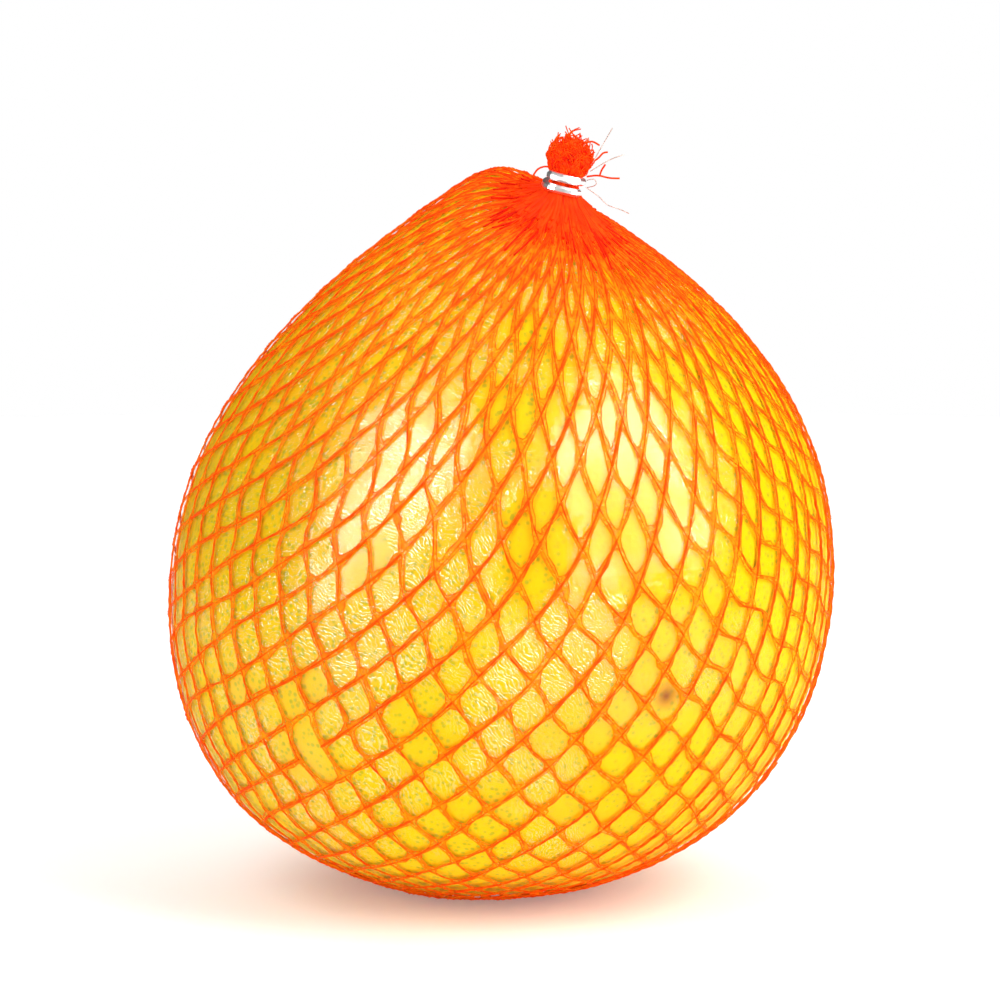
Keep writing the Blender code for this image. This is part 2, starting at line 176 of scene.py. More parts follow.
def peel_outline(phi, lift):
    """Radius and height of the peel, raised by lift, from the base (-90 degrees) to the crown (90)."""
    rise = np.abs(np.sin(phi))
    upper_radius = (PEEL_RADIUS + lift) * np.cos(phi)
    blunt = np.sqrt((np.cos(phi) ** 2 + CROWN_BLUNT ** 2) / (1 + CROWN_BLUNT ** 2))
    crown = (1 - blunt ** CROWN_POWERS[0]).clip(0) ** (1 / CROWN_POWERS[1])
    upper_height = RING_HEIGHT + (CROWN_RISE + lift) * crown
    lower_radius = (PEEL_RADIUS + lift) * np.cos(phi).clip(0) ** (2 / BASE_POWERS[0])
    dimple = DIMPLE_DEPTH * np.exp(-(lower_radius / DIMPLE_WIDTH) ** 2)
    lower_height = RING_HEIGHT - (BASE_DROP + lift) * rise ** (2 / BASE_POWERS[1]) + dimple
    upper = phi > 0
    return np.where(upper, upper_radius, lower_radius), np.where(upper, upper_height, lower_height)


def peel_place(direction, lift):
    """Points of the peel, raised by lift, in these directions from the middle of the widest ring.

    The peel swells to SWELL above its underside, so that film and net lie close on it.
    """
    snug = np.clip((direction[..., 2] - SWELL_FROM) / (SWELL_FULL - SWELL_FROM), 0, 1)
    lift = lift + SWELL * snug * snug * (3 - 2 * snug)
    phi_steps = np.linspace(-math.pi / 2, math.pi / 2, OUTLINE_STEPS)
    radius, height = peel_outline(phi_steps, 0.0)
    slope = np.arctan2(height - RING_HEIGHT, radius)
    across = np.hypot(direction[..., 0], direction[..., 1])
    phi = np.interp(np.arctan2(direction[..., 2], across), slope, phi_steps)
    radius, height = peel_outline(phi, lift)
    angle = np.arctan2(direction[..., 1], direction[..., 0])
    lobe_ring = np.exp(-((radius - LOBE_RADIUS) / LOBE_WIDTH) ** 2)
    lobes = LOBE_DEPTH * lobe_ring * (0.5 + 0.5 * np.cos(LOBES * angle))
    height = height + np.where(phi > 0, CROWN_LIFT * np.exp(-(radius / CROWN_LIFT_WIDTH) ** 2), 0.0)
    above = height - RING_HEIGHT
    shift = LEAN * above * (1 - (above / LEAN_FADE) ** 4)
    x = shift + radius * np.cos(angle)
    y = radius * np.sin(angle)
    z = height - np.where(phi < 0, lobes, 0.0)
    return np.stack([x, y, z], axis=-1)


def shaped_sphere(name, segments, rings, lift_of):
    """A sphere whose points are moved onto the peel, each raised by lift_of(directions)."""
    bpy.ops.mesh.primitive_uv_sphere_add(segments=segments, ring_count=rings, radius=1.0)
    ball = bpy.context.object
    ball.name = name
    count = len(ball.data.vertices)
    places = np.empty(count * 3)
    ball.data.vertices.foreach_get("co", places)
    directions = places.reshape(count, 3)
    moved = peel_place(directions, lift_of(directions))
    ball.data.vertices.foreach_set("co", moved.ravel())
    ball.data.update()
    bpy.ops.object.shade_smooth()
    return ball


def ripple(directions, seed, waves, low, high):
    """A smooth random field between about -2 and 2 on the sphere, made of a few plane waves."""
    draw = np.random.default_rng(seed)
    total = np.zeros(directions.shape[:-1])
    for _ in range(waves):
        axis = draw.normal(size=3)
        axis /= np.linalg.norm(axis)
        pitch = draw.uniform(low, high)
        total += np.sin(directions @ axis * pitch + draw.uniform(0, 2 * math.pi))
    return total / math.sqrt(waves)


def peel_lift(way):
    """Low dents and swellings of the peel."""
    return PEEL_LIFT + PEEL_UNEVEN * ripple(way, *PEEL_WAVES)


fruit = shaped_sphere("peel", *PEEL_STEPS, peel_lift)


def node(tree, kind, **values):
    """A shader node with its settings and, where a name starts with in_, its input values."""
    made = tree.nodes.new(kind)
    for key, value in values.items():
        if key.startswith("in_"):
            made.inputs[key[3:].replace("_", " ")].default_value = value
        else:
            setattr(made, key, value)
    return made


def ramp(tree, stops, source):
    """A colour ramp with these (position, colour) stops, fed by source."""
    made = tree.nodes.new("ShaderNodeValToRGB")
    elements = made.color_ramp.elements
    elements[0].position, elements[0].color = stops[0][0], (*stops[0][1], 1.0)
    elements[1].position, elements[1].color = stops[-1][0], (*stops[-1][1], 1.0)
    for position, colour in stops[1:-1]:
        added = elements.new(position)
        added.color = (*colour, 1.0)
    tree.links.new(source, made.inputs["Fac"])
    return made.outputs["Color"]


def mask(tree, source, edge, before=0.0, after=1.0):
    """A grey value that runs from before to after while source passes the edge's two values."""
    return ramp(tree, [(edge[0], (before,) * 3), (edge[1], (after,) * 3)], source)


def mixed(tree, share, first, second, blend="MIX"):
    """Two colours, or a colour and a plain value, mixed by share."""
    made = tree.nodes.new("ShaderNodeMix")
    made.data_type = "RGBA"
    made.blend_type = blend
    for name, value in (("Factor", share), ("A", first), ("B", second)):
        socket = made.inputs[name]
        if isinstance(value, bpy.types.NodeSocket):
            tree.links.new(value, socket)
        elif socket.type == "RGBA":
            socket.default_value = (*value, 1.0)
        else:
            socket.default_value = value
    return made.outputs["Result"]


def maths(tree, operation, *values, clamp=False):
    """The result of an operation on sockets and plain numbers."""
    made = node(tree, "ShaderNodeMath", operation=operation, use_clamp=clamp)
    for socket, value in zip(made.inputs, values):
        if isinstance(value, bpy.types.NodeSocket):
            tree.links.new(value, socket)
        else:
            socket.default_value = value
    return made.outputs[0]


def measured(tree, operation, coordinates, vector):
    """The dot product of the coordinates with a vector, or their distance from it."""
    made = node(tree, "ShaderNodeVectorMath", operation=operation)
    made.inputs[1].default_value = vector
    tree.links.new(coordinates, made.inputs[0])
    return made.outputs["Value"]


def bumped(tree, height, strength, distance, normal=None):
    """A normal from a height, laid over another normal if one is given."""
    made = node(tree, "ShaderNodeBump", in_Strength=strength, in_Distance=distance)
    tree.links.new(height, made.inputs["Height"])
    if normal is not None:
        tree.links.new(normal, made.inputs["Normal"])
    return made.outputs["Normal"]


def new_material(name):
    """A new material with its tree, its Principled shader and its Object coordinates."""
    material = bpy.data.materials.new(name)
    material.use_nodes = True
    tree = material.node_tree
    shader = tree.nodes["Principled BSDF"]
    coordinates = tree.nodes.new("ShaderNodeTexCoord").outputs["Object"]
    return material, tree, shader, coordinates


def noise(tree, coordinates, scale, detail=3.0, roughness=0.5, distortion=0.0):
    """A noise pattern's value."""
    made = node(tree, "ShaderNodeTexNoise", in_Scale=scale, in_Detail=detail, in_Roughness=roughness,
                in_Distortion=distortion)
    tree.links.new(coordinates, made.inputs["Vector"])
    return made.outputs["Fac"]


def peel_material():
    """Yellow peel: broad greener and warmer areas, painted shade on the left side, olive oil glands, and one
    brown scar.
    """
    material, tree, shader, coordinates = new_material("pomelo_peel_skin")
    ground = ramp(tree, PEEL_TONES, noise(tree, coordinates, *PEEL_TONE_NOISE))
    place = node(tree, "ShaderNodeSeparateXYZ")
    tree.links.new(coordinates, place.inputs[0])
    # Painted shade on the left side, in patches
    shade = maths(tree, "MULTIPLY_ADD", place.outputs["X"], PAINTED_SHADE_TO_LEFT, PAINTED_SHADE_MIDDLE)
    painted_shade_share = maths(tree, "MULTIPLY", shade, noise(tree, coordinates, *PAINTED_SHADE_NOISE), clamp=True)
    ground = mixed(tree, painted_shade_share, ground, PAINTED_SHADE_TONE)
    glands = node(tree, "ShaderNodeTexVoronoi", in_Scale=GLAND_SCALE, in_Randomness=GLAND_RANDOM)
    tree.links.new(coordinates, glands.inputs["Vector"])
    dots = mask(tree, glands.outputs["Distance"], GLAND_EDGE, 1.0, 0.0)
    patchy = mask(tree, noise(tree, coordinates, *GLAND_PATCHES), GLAND_PATCH_EDGE, GLAND_PATCH_LEAST)
    dots = mixed(tree, 1.0, dots, patchy, "MULTIPLY")
    dots = mixed(tree, 1.0, dots, GLAND_SHARE, "MULTIPLY")
    colour = mixed(tree, dots, ground, GLAND_TONE)
    from_scar = measured(tree, "DISTANCE", coordinates, peel_place(SCAR_WAY, 0.0))
    colour = mixed(tree, mask(tree, from_scar, (0.0, SCAR_RADIUS), 1.0, 0.0), colour, SCAR_TONE)
    tree.links.new(colour, shader.inputs["Base Color"])
    shader.inputs["Roughness"].default_value = PEEL_ROUGHNESS
    shader.inputs["Specular IOR Level"].default_value = PEEL_SPECULAR
    pits = bumped(tree, glands.outputs["Distance"], *GLAND_BUMP)
    tree.links.new(pits, shader.inputs["Normal"])
    return material


fruit.data.materials.append(peel_material())
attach(fruit, "root")
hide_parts("pomelo_fruit")

# The film
# A thin clear film, shrunk onto the peel. It hugs the underside and stands off a little higher up, where
# it is finely crinkled and catches the light. Its mouth is tucked into the dimple underneath.
FILM_LIFT = 0.0005
FILM_STEPS = (300, 220)
FILM_MOUTH = 0.0110
FILM_MOUTH_X = -0.0025
FILM_MOUTH_TOP = 0.02
# Creases: their height, how many there are and how they turn, and the waves that steer them
CREASE_HEIGHT = 0.00010
CREASE_COUNT = 5.0
CREASE_SWIRL = 3.0
CREASE_TURN = 2.2
CREASE_TURN_WAVES = (11, 6, 6, 14)
CREASE_WAVES = (12, 5, 30, 70)
FILM_UNEVEN = 0.00006
FILM_WAVES = (14, 8, 20, 60)
# Hairs: hair-fine crinkles, where the film is slack
HAIR_SCALE = 620.0
HAIR_WARP = 26.0
HAIR_DETAIL = 3.0
HAIR_DETAIL_SCALE = 0.30
HAIR_DETAIL_ROUGHNESS = 0.6
HAIR_EDGE = (0.62, 0.95)
HAIR_GLOSS = 0.17
HAIR_BUMP = (0.7, 0.00012)
SLACK_SIDE = (-2.6, 0.0, 1.3)
SLACK_NOISE = (46.0, 1.0)
SLACK_EDGE = (0.54, 0.68)
DENT_NOISE = (130.0, 2.0, 0.6, 1.0)
DENT_BUMP = (0.30, 0.0008)
# Gloss: least where the film hugs the peel, and more at a slant than face on
FREE_SIDE = (-0.8, 0.0, 3.5)
FREE_NOISE = (36.0, 1.0)
FREE_EDGE = (0.64, 0.86)
HUGGED_GLOSS = 0.22
FACING_GLOSS = 0.022
SLANT_GLOSS = 0.12
MOST_GLOSS = 0.16
FILM_IOR = 1.55
FILM_ROUGHNESS = 0.15
FILM_TINT = (1.0, 0.99, 0.96, 1.0)


def film_lift(way):
    """Creases of the film: fine ridges whose run turns from place to place."""
    turn = ripple(way, *CREASE_TURN_WAVES) * CREASE_TURN
    fine = np.sin(ripple(way, *CREASE_WAVES) * CREASE_COUNT + turn * CREASE_SWIRL)
    ridge = 1 - np.abs(fine)
    return FILM_LIFT + CREASE_HEIGHT * (ridge ** 3) + FILM_UNEVEN * ripple(way, *FILM_WAVES)


film = shaped_sphere("film_wrap_skin", *FILM_STEPS, film_lift)
bpy.ops.object.mode_set(mode="EDIT")
bpy.ops.mesh.select_all(action="DESELECT")
bpy.ops.object.mode_set(mode="OBJECT")
for vertex in film.data.vertices:
    from_mouth = math.hypot(vertex.co.x - FILM_MOUTH_X, vertex.co.y)
    vertex.select = from_mouth < FILM_MOUTH and vertex.co.z < FILM_MOUTH_TOP
bpy.ops.object.mode_set(mode="EDIT")
bpy.ops.mesh.delete(type="VERT")
bpy.ops.object.mode_set(mode="OBJECT")


def film_material():
    """Clear film: see-through where it faces the eye, glossier at a slant, with hair-fine crinkles."""
    material, tree, shader, coordinates = new_material("clear_film_skin")
    output = tree.nodes["Material Output"]
    tree.nodes.remove(shader)
    crinkles = node(tree, "ShaderNodeTexWave", bands_direction="DIAGONAL", in_Scale=HAIR_SCALE,
                    in_Distortion=HAIR_WARP, in_Detail=HAIR_DETAIL, in_Detail_Scale=HAIR_DETAIL_SCALE,
                    in_Detail_Roughness=HAIR_DETAIL_ROUGHNESS)
    tree.links.new(coordinates, crinkles.inputs["Vector"])
    slack = measured(tree, "DOT_PRODUCT", coordinates, SLACK_SIDE)
    slack = maths(tree, "ADD", slack, noise(tree, coordinates, *SLACK_NOISE))
    slack = mask(tree, slack, SLACK_EDGE)
    hairs = mixed(tree, 1.0, mask(tree, crinkles.outputs["Fac"], HAIR_EDGE), slack, "MULTIPLY")
    normal = bumped(tree, hairs, *HAIR_BUMP)
    normal = bumped(tree, noise(tree, coordinates, *DENT_NOISE), *DENT_BUMP, normal)
    slant = node(tree, "ShaderNodeFresnel", in_IOR=FILM_IOR)
    strength = maths(tree, "MULTIPLY_ADD", slant.outputs[0], SLANT_GLOSS, FACING_GLOSS)
    strength = maths(tree, "MINIMUM", strength, MOST_GLOSS)
    free = measured(tree, "DOT_PRODUCT", coordinates, FREE_SIDE)
    free = maths(tree, "ADD", free, noise(tree, coordinates, *FREE_NOISE))
    free = mask(tree, free, FREE_EDGE, HUGGED_GLOSS)
    strength = maths(tree, "MULTIPLY", strength, free)
    strength = maths(tree, "MULTIPLY_ADD", hairs, HAIR_GLOSS, strength, clamp=True)
    clear = node(tree, "ShaderNodeBsdfTransparent")
    gloss = node(tree, "ShaderNodeBsdfGlossy", in_Color=FILM_TINT, in_Roughness=FILM_ROUGHNESS)
    tree.links.new(normal, gloss.inputs["Normal"])
    mix = node(tree, "ShaderNodeMixShader")
    tree.links.new(strength, mix.inputs["Fac"])
    tree.links.new(clear.outputs[0], mix.inputs[1])
    tree.links.new(gloss.outputs[0], mix.inputs[2])
    tree.links.new(mix.outputs[0], output.inputs["Surface"])
    return material


film.data.materials.append(film_material())
film.visible_shadow = False
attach(film, "root")
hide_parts("film_wrap")

# The net
# A knitted tube of orange plastic yarn with 45 diamond meshes round. Each mesh is edged by a looped yarn,
# and between the loops of two meshes lies a thin laid-in web with yarns wound along it. The tube is pulled
# tight over the fruit, tilted to the front, and gathered at the neck on top and in the dimple underneath.
MESHES = 45
MESH_SIDE = 0.0081
# The tube's tilt over the fruit, and its neck
NECK_PLACE = (0.0122, -0.0145)
NECK_LEVEL = 0.93
NECK_FLARE = 0.0046
NECK_FLARE_WIDTH = 0.0066
NET_TILT_FRONT = math.radians(27)
NET_TILT_SIDE = math.radians(6)
TILT_GROWS_BY = math.radians(60)
TILT_FADES_OVER = math.radians(70)
TOP_GATHER = 0.0030
FOOT_GATHER = 0.0060
FALL_STEPS = 6001
FALL_TURNS = 24
LEAST_FALL = math.radians(0.2)
MOST_FALL = math.radians(179.8)
TABLE_GAP = 0.0003
# Waves, fewest and most round, slowest and fastest down, and size in meshes of the net's wandering
WANDERS = ((6, 1, 4, 0.08, 0.30, 0.035), (12, 9, 20, 0.8, 2.3, 0.020))
WANDER_SEED = 17
DROPPED_STITCH = np.array([-0.0405, -0.0570, 0.0470])
# Strands: half their width over the fruit and at the neck, and their web and ridge over the peel
STRAND_HALF = 0.00040
NECK_STRAND_HALF = 0.00060
NECK_STRANDS_END = 15
STRAND_PLAY = (0.75, 1.3)
STRAND_MOST_SHARE = 0.47
STRAND_SEED = 21
WEB_LIFT = 0.00072
RIDGE_LIFT = 0.00032
# Loops round each mesh: more angular at the top than elsewhere
LOOP_LIFT = 0.00008
LOOP_PLAY = 0.00008
LOOP_POINTS = 16
LOOP_RADIUS = 0.00009
LOOP_SIDES = 4
LOOP_SHARPNESS = (3.6, 7.0)
LOOP_UNEVEN = 0.026
LOOP_SEEDS = (8, 5)
LOWER_FROM = 0.5
# Yarns wound along the strands: a thick one and a thin one on each
LAID_POINTS = 10
CHAIN_RADII = (0.00022, 0.00014)
CHAIN_SIDES = 4
CHAIN_SWING = 0.00020
CHAIN_UNEVEN = 0.55
LAID_RADIUS = 0.00009
LAID_SIDES = 3
LAID_SWING = 0.00042
WOUND_TURNS = (1.7, 3.2)
WOUND_HEIGHT = (0.7, 0.3)
CHAIN_SEED = 31
LAID_SEED = 35
THICKNESS_SEED = 61
# Yarn: dark and light tone and how far it turns red at the neck
LOOP_TONES = ((0.85, 0.090, 0.001), (1.0, 0.200, 0.002), 0.72)
CHAIN_TONES = ((0.98, 0.065, 0.001), (1.0, 0.130, 0.001), 0.72)
WEB_TONES = ((1.0, 0.15, 0.001), (1.0, 0.28, 0.002), 0.55)
TONE_NOISE = (420.0, 2.0)
TONE_EDGE = (0.35, 0.65)
NECK_RED = (0.94, 0.018, 0.0005)
NECK_MIDDLE = (0.0140, -0.0150, 0.158)
RED_FROM = 0.046
RED_FULL = 0.006
WEB_HOLES = (900.0, 1.0)
WEB_HOLE_EDGE = (0.34, 0.62)
WEB_COVER = (0.25, 0.85)
WEB_CLOSES = 1.2
YARN_ROUGHNESS = 0.6
YARN_SPECULAR = 0.03


def smooth_step(share):
    """A smooth rise from 0 to 1."""
    share = np.clip(share, 0, 1)
    return share * share * (3 - 2 * share)


def net_direction(turn, fall):
    """Unit directions for angles round the net and angles down from its neck, the tube being tilted."""
    x = np.sin(fall) * np.cos(turn)
    y = np.sin(fall) * np.sin(turn)
    z = np.cos(fall)
    grow = smooth_step(fall / TILT_GROWS_BY)
    fade = smooth_step((math.pi - fall) / TILT_FADES_OVER)
    neck_height = CROWN_RISE * NECK_LEVEL
    neck_front = math.atan2(-NECK_PLACE[1], neck_height)
    neck_side = math.atan2(NECK_PLACE[0], neck_height)
    front = (neck_front + (NET_TILT_FRONT - neck_front) * grow) * fade
    side = (neck_side + (NET_TILT_SIDE - neck_side) * grow) * fade
    y, z = y * np.cos(front) - z * np.sin(front), y * np.sin(front) + z * np.cos(front)
    x, z = x * np.cos(side) + z * np.sin(side), z * np.cos(side) - x * np.sin(side)
    return np.stack([x, y, z], axis=-1)


def net_rows():
    """Angles down from the neck of the rows of joints, so that each mesh keeps its side."""
    fine = np.linspace(0.0, math.pi, FALL_STEPS)
    turns = np.linspace(0, 2 * math.pi, FALL_TURNS, endpoint=False)
    places = peel_place(np.stack([net_direction(turn + fine * 0, fine) for turn in turns]), WEB_LIFT)
    steps = np.linalg.norm(np.diff(places, axis=1), axis=2).mean(axis=0)
    travelled = np.concatenate([[0.0], np.cumsum(steps)])
    radius = np.linalg.norm(places - places.mean(axis=0), axis=2).mean(axis=0)
    rows = []
    along = TOP_GATHER
    while along < travelled[-1] - FOOT_GATHER:
        rows.append(np.interp(along, travelled, fine))
        half_cell = math.pi * np.interp(along, travelled, radius) / MESHES
        along += math.sqrt(MESH_SIDE ** 2 - half_cell ** 2)
    return np.array(rows)


ROWS = net_rows()
ROW_COUNT = len(ROWS)


def wander(column, row):
    """Small uneven shifts of the net, in columns and rows: slow ones, and quick ones from joint to joint."""
    draw = np.random.default_rng(WANDER_SEED)
    turn = 2 * math.pi * column / MESHES
    across = np.zeros(np.broadcast(column, row).shape)
    along = across.copy()
    for waves, fewest, most, slowest, fastest, size in WANDERS:
        for _ in range(waves):
            run = draw.integers(fewest, most) * turn + draw.uniform(slowest, fastest) * row
            across += size * np.sin(run + draw.uniform(0, 2 * math.pi))
            along += size * np.sin(run + draw.uniform(0, 2 * math.pi))
    return across, along


def net_place(column, row, lift):
    """Points of the net at these columns and rows, which may be fractions, raised by lift."""
    across, along = wander(column, row)
    column = column + across
    row = row + along
    fall = np.interp(row, np.arange(ROW_COUNT), ROWS)
    below = np.clip(row - (ROW_COUNT - 1), 0, None) * (ROWS[-1] - ROWS[-2])
    above = np.clip(-row, 0, None) * (ROWS[1] - ROWS[0])
    fall = np.clip(fall + below - above, LEAST_FALL, MOST_FALL)
    places = peel_place(net_direction(2 * math.pi * column / MESHES, fall), lift)
    distance = fall * (CROWN_RISE + PEEL_RADIUS) / 2
    places[..., 2] += NECK_FLARE * np.exp(-(distance / NECK_FLARE_WIDTH) ** 2)
    places[..., 2] = np.maximum(places[..., 2], TABLE_GAP)
    return places


def net_cells():
    """Column, row and reach of each mesh's middle.

    The mesh at the dropped stitch is two meshes long: it takes in the next one down on its right, and its
    middle moves halfway there.
    """
    column, row = np.meshgrid(np.arange(MESHES, dtype=float), np.arange(1, ROW_COUNT - 1, dtype=float))
    column = (column + 0.5 * ((row + 1) % 2)).ravel()
    row = row.ravel()
    reach = np.ones(len(row))
    long_one = int(np.argmin(np.linalg.norm(net_place(column, row, WEB_LIFT) - DROPPED_STITCH, axis=1)))
    lost = int(np.argmin(np.abs(column - column[long_one] - 0.5) + np.abs(row - row[long_one] - 1)))
    reach[long_one] = 2.0
    column[long_one] += 0.25
    row[long_one] += 0.5
    keep = np.arange(len(row)) != lost
    return column[keep], row[keep], reach[keep]


CELL_COLUMN, CELL_ROW, CELL_REACH = net_cells()


def strand_share():
    """Half the strand's width as a share of each mesh's side, measured across the mesh."""
    left = net_place(CELL_COLUMN - 0.5, CELL_ROW, WEB_LIFT)
    right = net_place(CELL_COLUMN + 0.5, CELL_ROW, WEB_LIFT)
    top = net_place(CELL_COLUMN, CELL_ROW - 1, WEB_LIFT)
    foot = net_place(CELL_COLUMN, CELL_ROW + 1, WEB_LIFT)
    wide = np.linalg.norm(right - left, axis=1)
    tall = np.linalg.norm(foot - top, axis=1)
    across = wide * tall / np.hypot(wide, tall)
    draw = np.random.default_rng(STRAND_SEED)
    near_neck = 1 - smooth_step(CELL_ROW / NECK_STRANDS_END)
    half = STRAND_HALF + (NECK_STRAND_HALF - STRAND_HALF) * near_neck
    return np.clip(half * draw.uniform(*STRAND_PLAY, len(across)) / across, 0.0, STRAND_MOST_SHARE)


def cell_ring(share, sharpness):
    """Columns and rows of points round each mesh, share of a side inside its edges."""
    turn = np.arange(LOOP_POINTS) * 2 * math.pi / LOOP_POINTS
    if math.isinf(sharpness[0]):
        largest = np.maximum(np.abs(np.cos(turn)), np.abs(np.sin(turn)))
        down_right = np.cos(turn) / largest
        down_left = np.sin(turn) / largest
    else:
        top = np.clip(-np.cos(turn - math.pi / 4), 0, None) ** 4
        power = 2 / (sharpness[0] + (sharpness[1] - sharpness[0]) * top)
        down_right = np.sign(np.cos(turn)) * np.abs(np.cos(turn)) ** power
        down_left = np.sign(np.sin(turn)) * np.abs(np.sin(turn)) ** power
    down_right = down_right[None, :] * (0.5 * CELL_REACH - share)[:, None]
    down_left = down_left[None, :] * (0.5 - share)[:, None]
    column = CELL_COLUMN[:, None] + 0.5 * (down_right - down_left)
    row = CELL_ROW[:, None] + down_right + down_left
    return column, row


def unit(vectors):
    """Vectors of length 1, also where two points of a path fall together."""
    return vectors / (np.linalg.norm(vectors, axis=2, keepdims=True) + 1e-12)


def sweep(paths, radius, sides, closed):
    """Tubes along many paths of one length (paths, points, 3), as points and faces."""
    count, length = paths.shape[:2]
    if closed:
        ahead = unit(np.roll(paths, -1, axis=1) - np.roll(paths, 1, axis=1))
    else:
        ahead = unit(np.gradient(paths, axis=1))
    outward = paths - np.array([0.0, 0.0, RING_HEIGHT])
    side = unit(np.cross(outward, ahead))
    up = np.cross(ahead, side)
    angle = 2 * math.pi * np.arange(sides)[:, None] / sides
    radius = np.broadcast_to(np.asarray(radius, dtype=float), (count, length))[..., None, None]
    spokes = np.cos(angle) * side[:, :, None, :] - np.sin(angle) * up[:, :, None, :]
    points = (paths[:, :, None, :] + radius * spokes).reshape(-1, 3)
    first = np.arange(count)[:, None, None] * length * sides
    ring = np.arange(length if closed else length - 1)[None, :, None]
    corner = np.arange(sides)[None, None, :]
    after = (corner + 1) % sides
    up_ring = (ring + 1) % length
    quads = [first + ring * sides + corner, first + ring * sides + after,
             first + up_ring * sides + after, first + up_ring * sides + corner]
    faces = np.stack(quads, axis=-1).reshape(-1, 4).tolist()
    if not closed:
        for start in first.ravel().tolist():
            faces.append([start + corner for corner in reversed(range(sides))])
            faces.append([start + (length - 1) * sides + corner for corner in range(sides)])
    return points, faces


def add_piece(name, points, faces, material):
    """A visible piece of the part made from points and faces."""
    mesh = bpy.data.meshes.new(name)
    mesh.from_pydata(np.asarray(points).tolist(), [], faces)
    mesh.update()
    piece = bpy.data.objects.new(name, mesh)
    bpy.context.scene.collection.objects.link(piece)
    bpy.ops.object.select_all(action="DESELECT")
    piece.select_set(True)
    bpy.context.view_layer.objects.active = piece
    bpy.ops.object.shade_smooth()
    mesh.materials.append(material)
    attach(piece, "root")
    return piece


def yarn_material(name, dark, light, red_share, sheer=False):
    """Dyed plastic yarn, redder where it is gathered at the neck, and full of small holes if sheer."""
    material, tree, shader, coordinates = new_material(name)
    tone = ramp(tree, [(TONE_EDGE[0], dark), (TONE_EDGE[1], light)], noise(tree, coordinates, *TONE_NOISE))
    near = node(tree, "ShaderNodeMapRange", clamp=True, in_From_Min=RED_FULL, in_From_Max=RED_FROM,
                in_To_Min=red_share, in_To_Max=0.0)
    tree.links.new(measured(tree, "DISTANCE", coordinates, NECK_MIDDLE), near.inputs["Value"])
    tree.links.new(mixed(tree, near.outputs[0], tone, NECK_RED), shader.inputs["Base Color"])
    if sheer:
        holes = mask(tree, noise(tree, coordinates, *WEB_HOLES), WEB_HOLE_EDGE, *WEB_COVER)
        cover = maths(tree, "MULTIPLY_ADD", near.outputs[0], WEB_CLOSES, holes, clamp=True)
        tree.links.new(cover, shader.inputs["Alpha"])
    shader.inputs["Roughness"].default_value = YARN_ROUGHNESS
    shader.inputs["Specular IOR Level"].default_value = YARN_SPECULAR
    return material


loop_yarn = yarn_material("orange_loop_yarn", *LOOP_TONES)
chain_yarn = yarn_material("orange_chain_yarn", *CHAIN_TONES)
web_yarn = yarn_material("orange_web", *WEB_TONES, sheer=True)

shares = strand_share()
loop_column, loop_row = cell_ring(shares, LOOP_SHARPNESS)
uneven = np.random.default_rng(LOOP_SEEDS[0]).normal(0.0, LOOP_UNEVEN, (2, *loop_column.shape))
loop_column = loop_column + uneven[0]
loop_row = loop_row + uneven[1]
loop_play = LOOP_PLAY * np.random.default_rng(LOOP_SEEDS[1]).random(loop_column.shape)
loop_paths = net_place(loop_column, loop_row, WEB_LIFT + LOOP_LIFT + loop_play)

lower = CELL_ROW > ROW_COUNT * LOWER_FROM
for name, chosen in (("net_loops_upper", ~lower), ("net_loops_lower", lower)):
    points, faces = sweep(loop_paths[chosen], LOOP_RADIUS, LOOP_SIDES, True)
    add_piece(name, points, faces, loop_yarn)


def web_mesh():
    """The web between the loops: a band from each loop up to the ridge at the edge of its mesh."""
    cells = len(shares)
    edge_column, edge_row = cell_ring(shares * 0, (math.inf, math.inf))
    inner = net_place(loop_column, loop_row, np.full(loop_column.shape, WEB_LIFT))
    outer = net_place(edge_column, edge_row, np.full(edge_column.shape, WEB_LIFT + RIDGE_LIFT))
    points = np.concatenate([inner.reshape(-1, 3), outer.reshape(-1, 3)])
    first = np.arange(cells)[:, None] * LOOP_POINTS
    step = np.arange(LOOP_POINTS)[None, :]
    after = (step + 1) % LOOP_POINTS
    out = cells * LOOP_POINTS
    faces = np.stack([first + step, first + after, out + first + after, out + first + step], axis=-1)
    return points, faces.reshape(-1, 4)[:, ::-1].tolist()


points, faces = web_mesh()
web = add_piece("net_web", points, faces, web_yarn)
web.visible_shadow = False
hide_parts("net")


def strand_paths(side, swing_width, seed):
    """Yarns wound along the strands above each mesh, from its left or right corner to its top."""
    draw = np.random.default_rng(seed)
    share = np.linspace(0.0, 1.0, LAID_POINTS)[None, :]
    single = CELL_REACH == 1.0
    column = CELL_COLUMN[single][:, None] + 0.5 * side * (1 - share)
    row = CELL_ROW[single][:, None] - share
    turns = draw.uniform(*WOUND_TURNS, (len(row), 1))
    wound = draw.uniform(0, 2 * math.pi, (len(row), 1)) + 2 * math.pi * turns * share
    swing = np.sin(wound) * swing_width / MESH_SIDE
    lift = WEB_LIFT + RIDGE_LIFT * (WOUND_HEIGHT[0] + WOUND_HEIGHT[1] * np.cos(wound))
    return net_place(column + 0.5 * swing, row + side * swing, lift)


for name, side, radius in (("left", -1, CHAIN_RADII[0]), ("right", 1, CHAIN_RADII[1])):
    chains = strand_paths(side, CHAIN_SWING, CHAIN_SEED + side)
    draw = np.random.default_rng(THICKNESS_SEED + side)
    thickness = radius * (1 + CHAIN_UNEVEN * draw.uniform(-1, 1, (len(chains), 1)))
    points, faces = sweep(chains, thickness, CHAIN_SIDES, False)
    add_piece("net_chains_" + name, points, faces, chain_yarn)
    laid = strand_paths(side, LAID_SWING, LAID_SEED + side)
    points, faces = sweep(laid, LAID_RADIUS, LAID_SIDES, False)
    add_piece("net_laid_" + name, points, faces, loop_yarn)

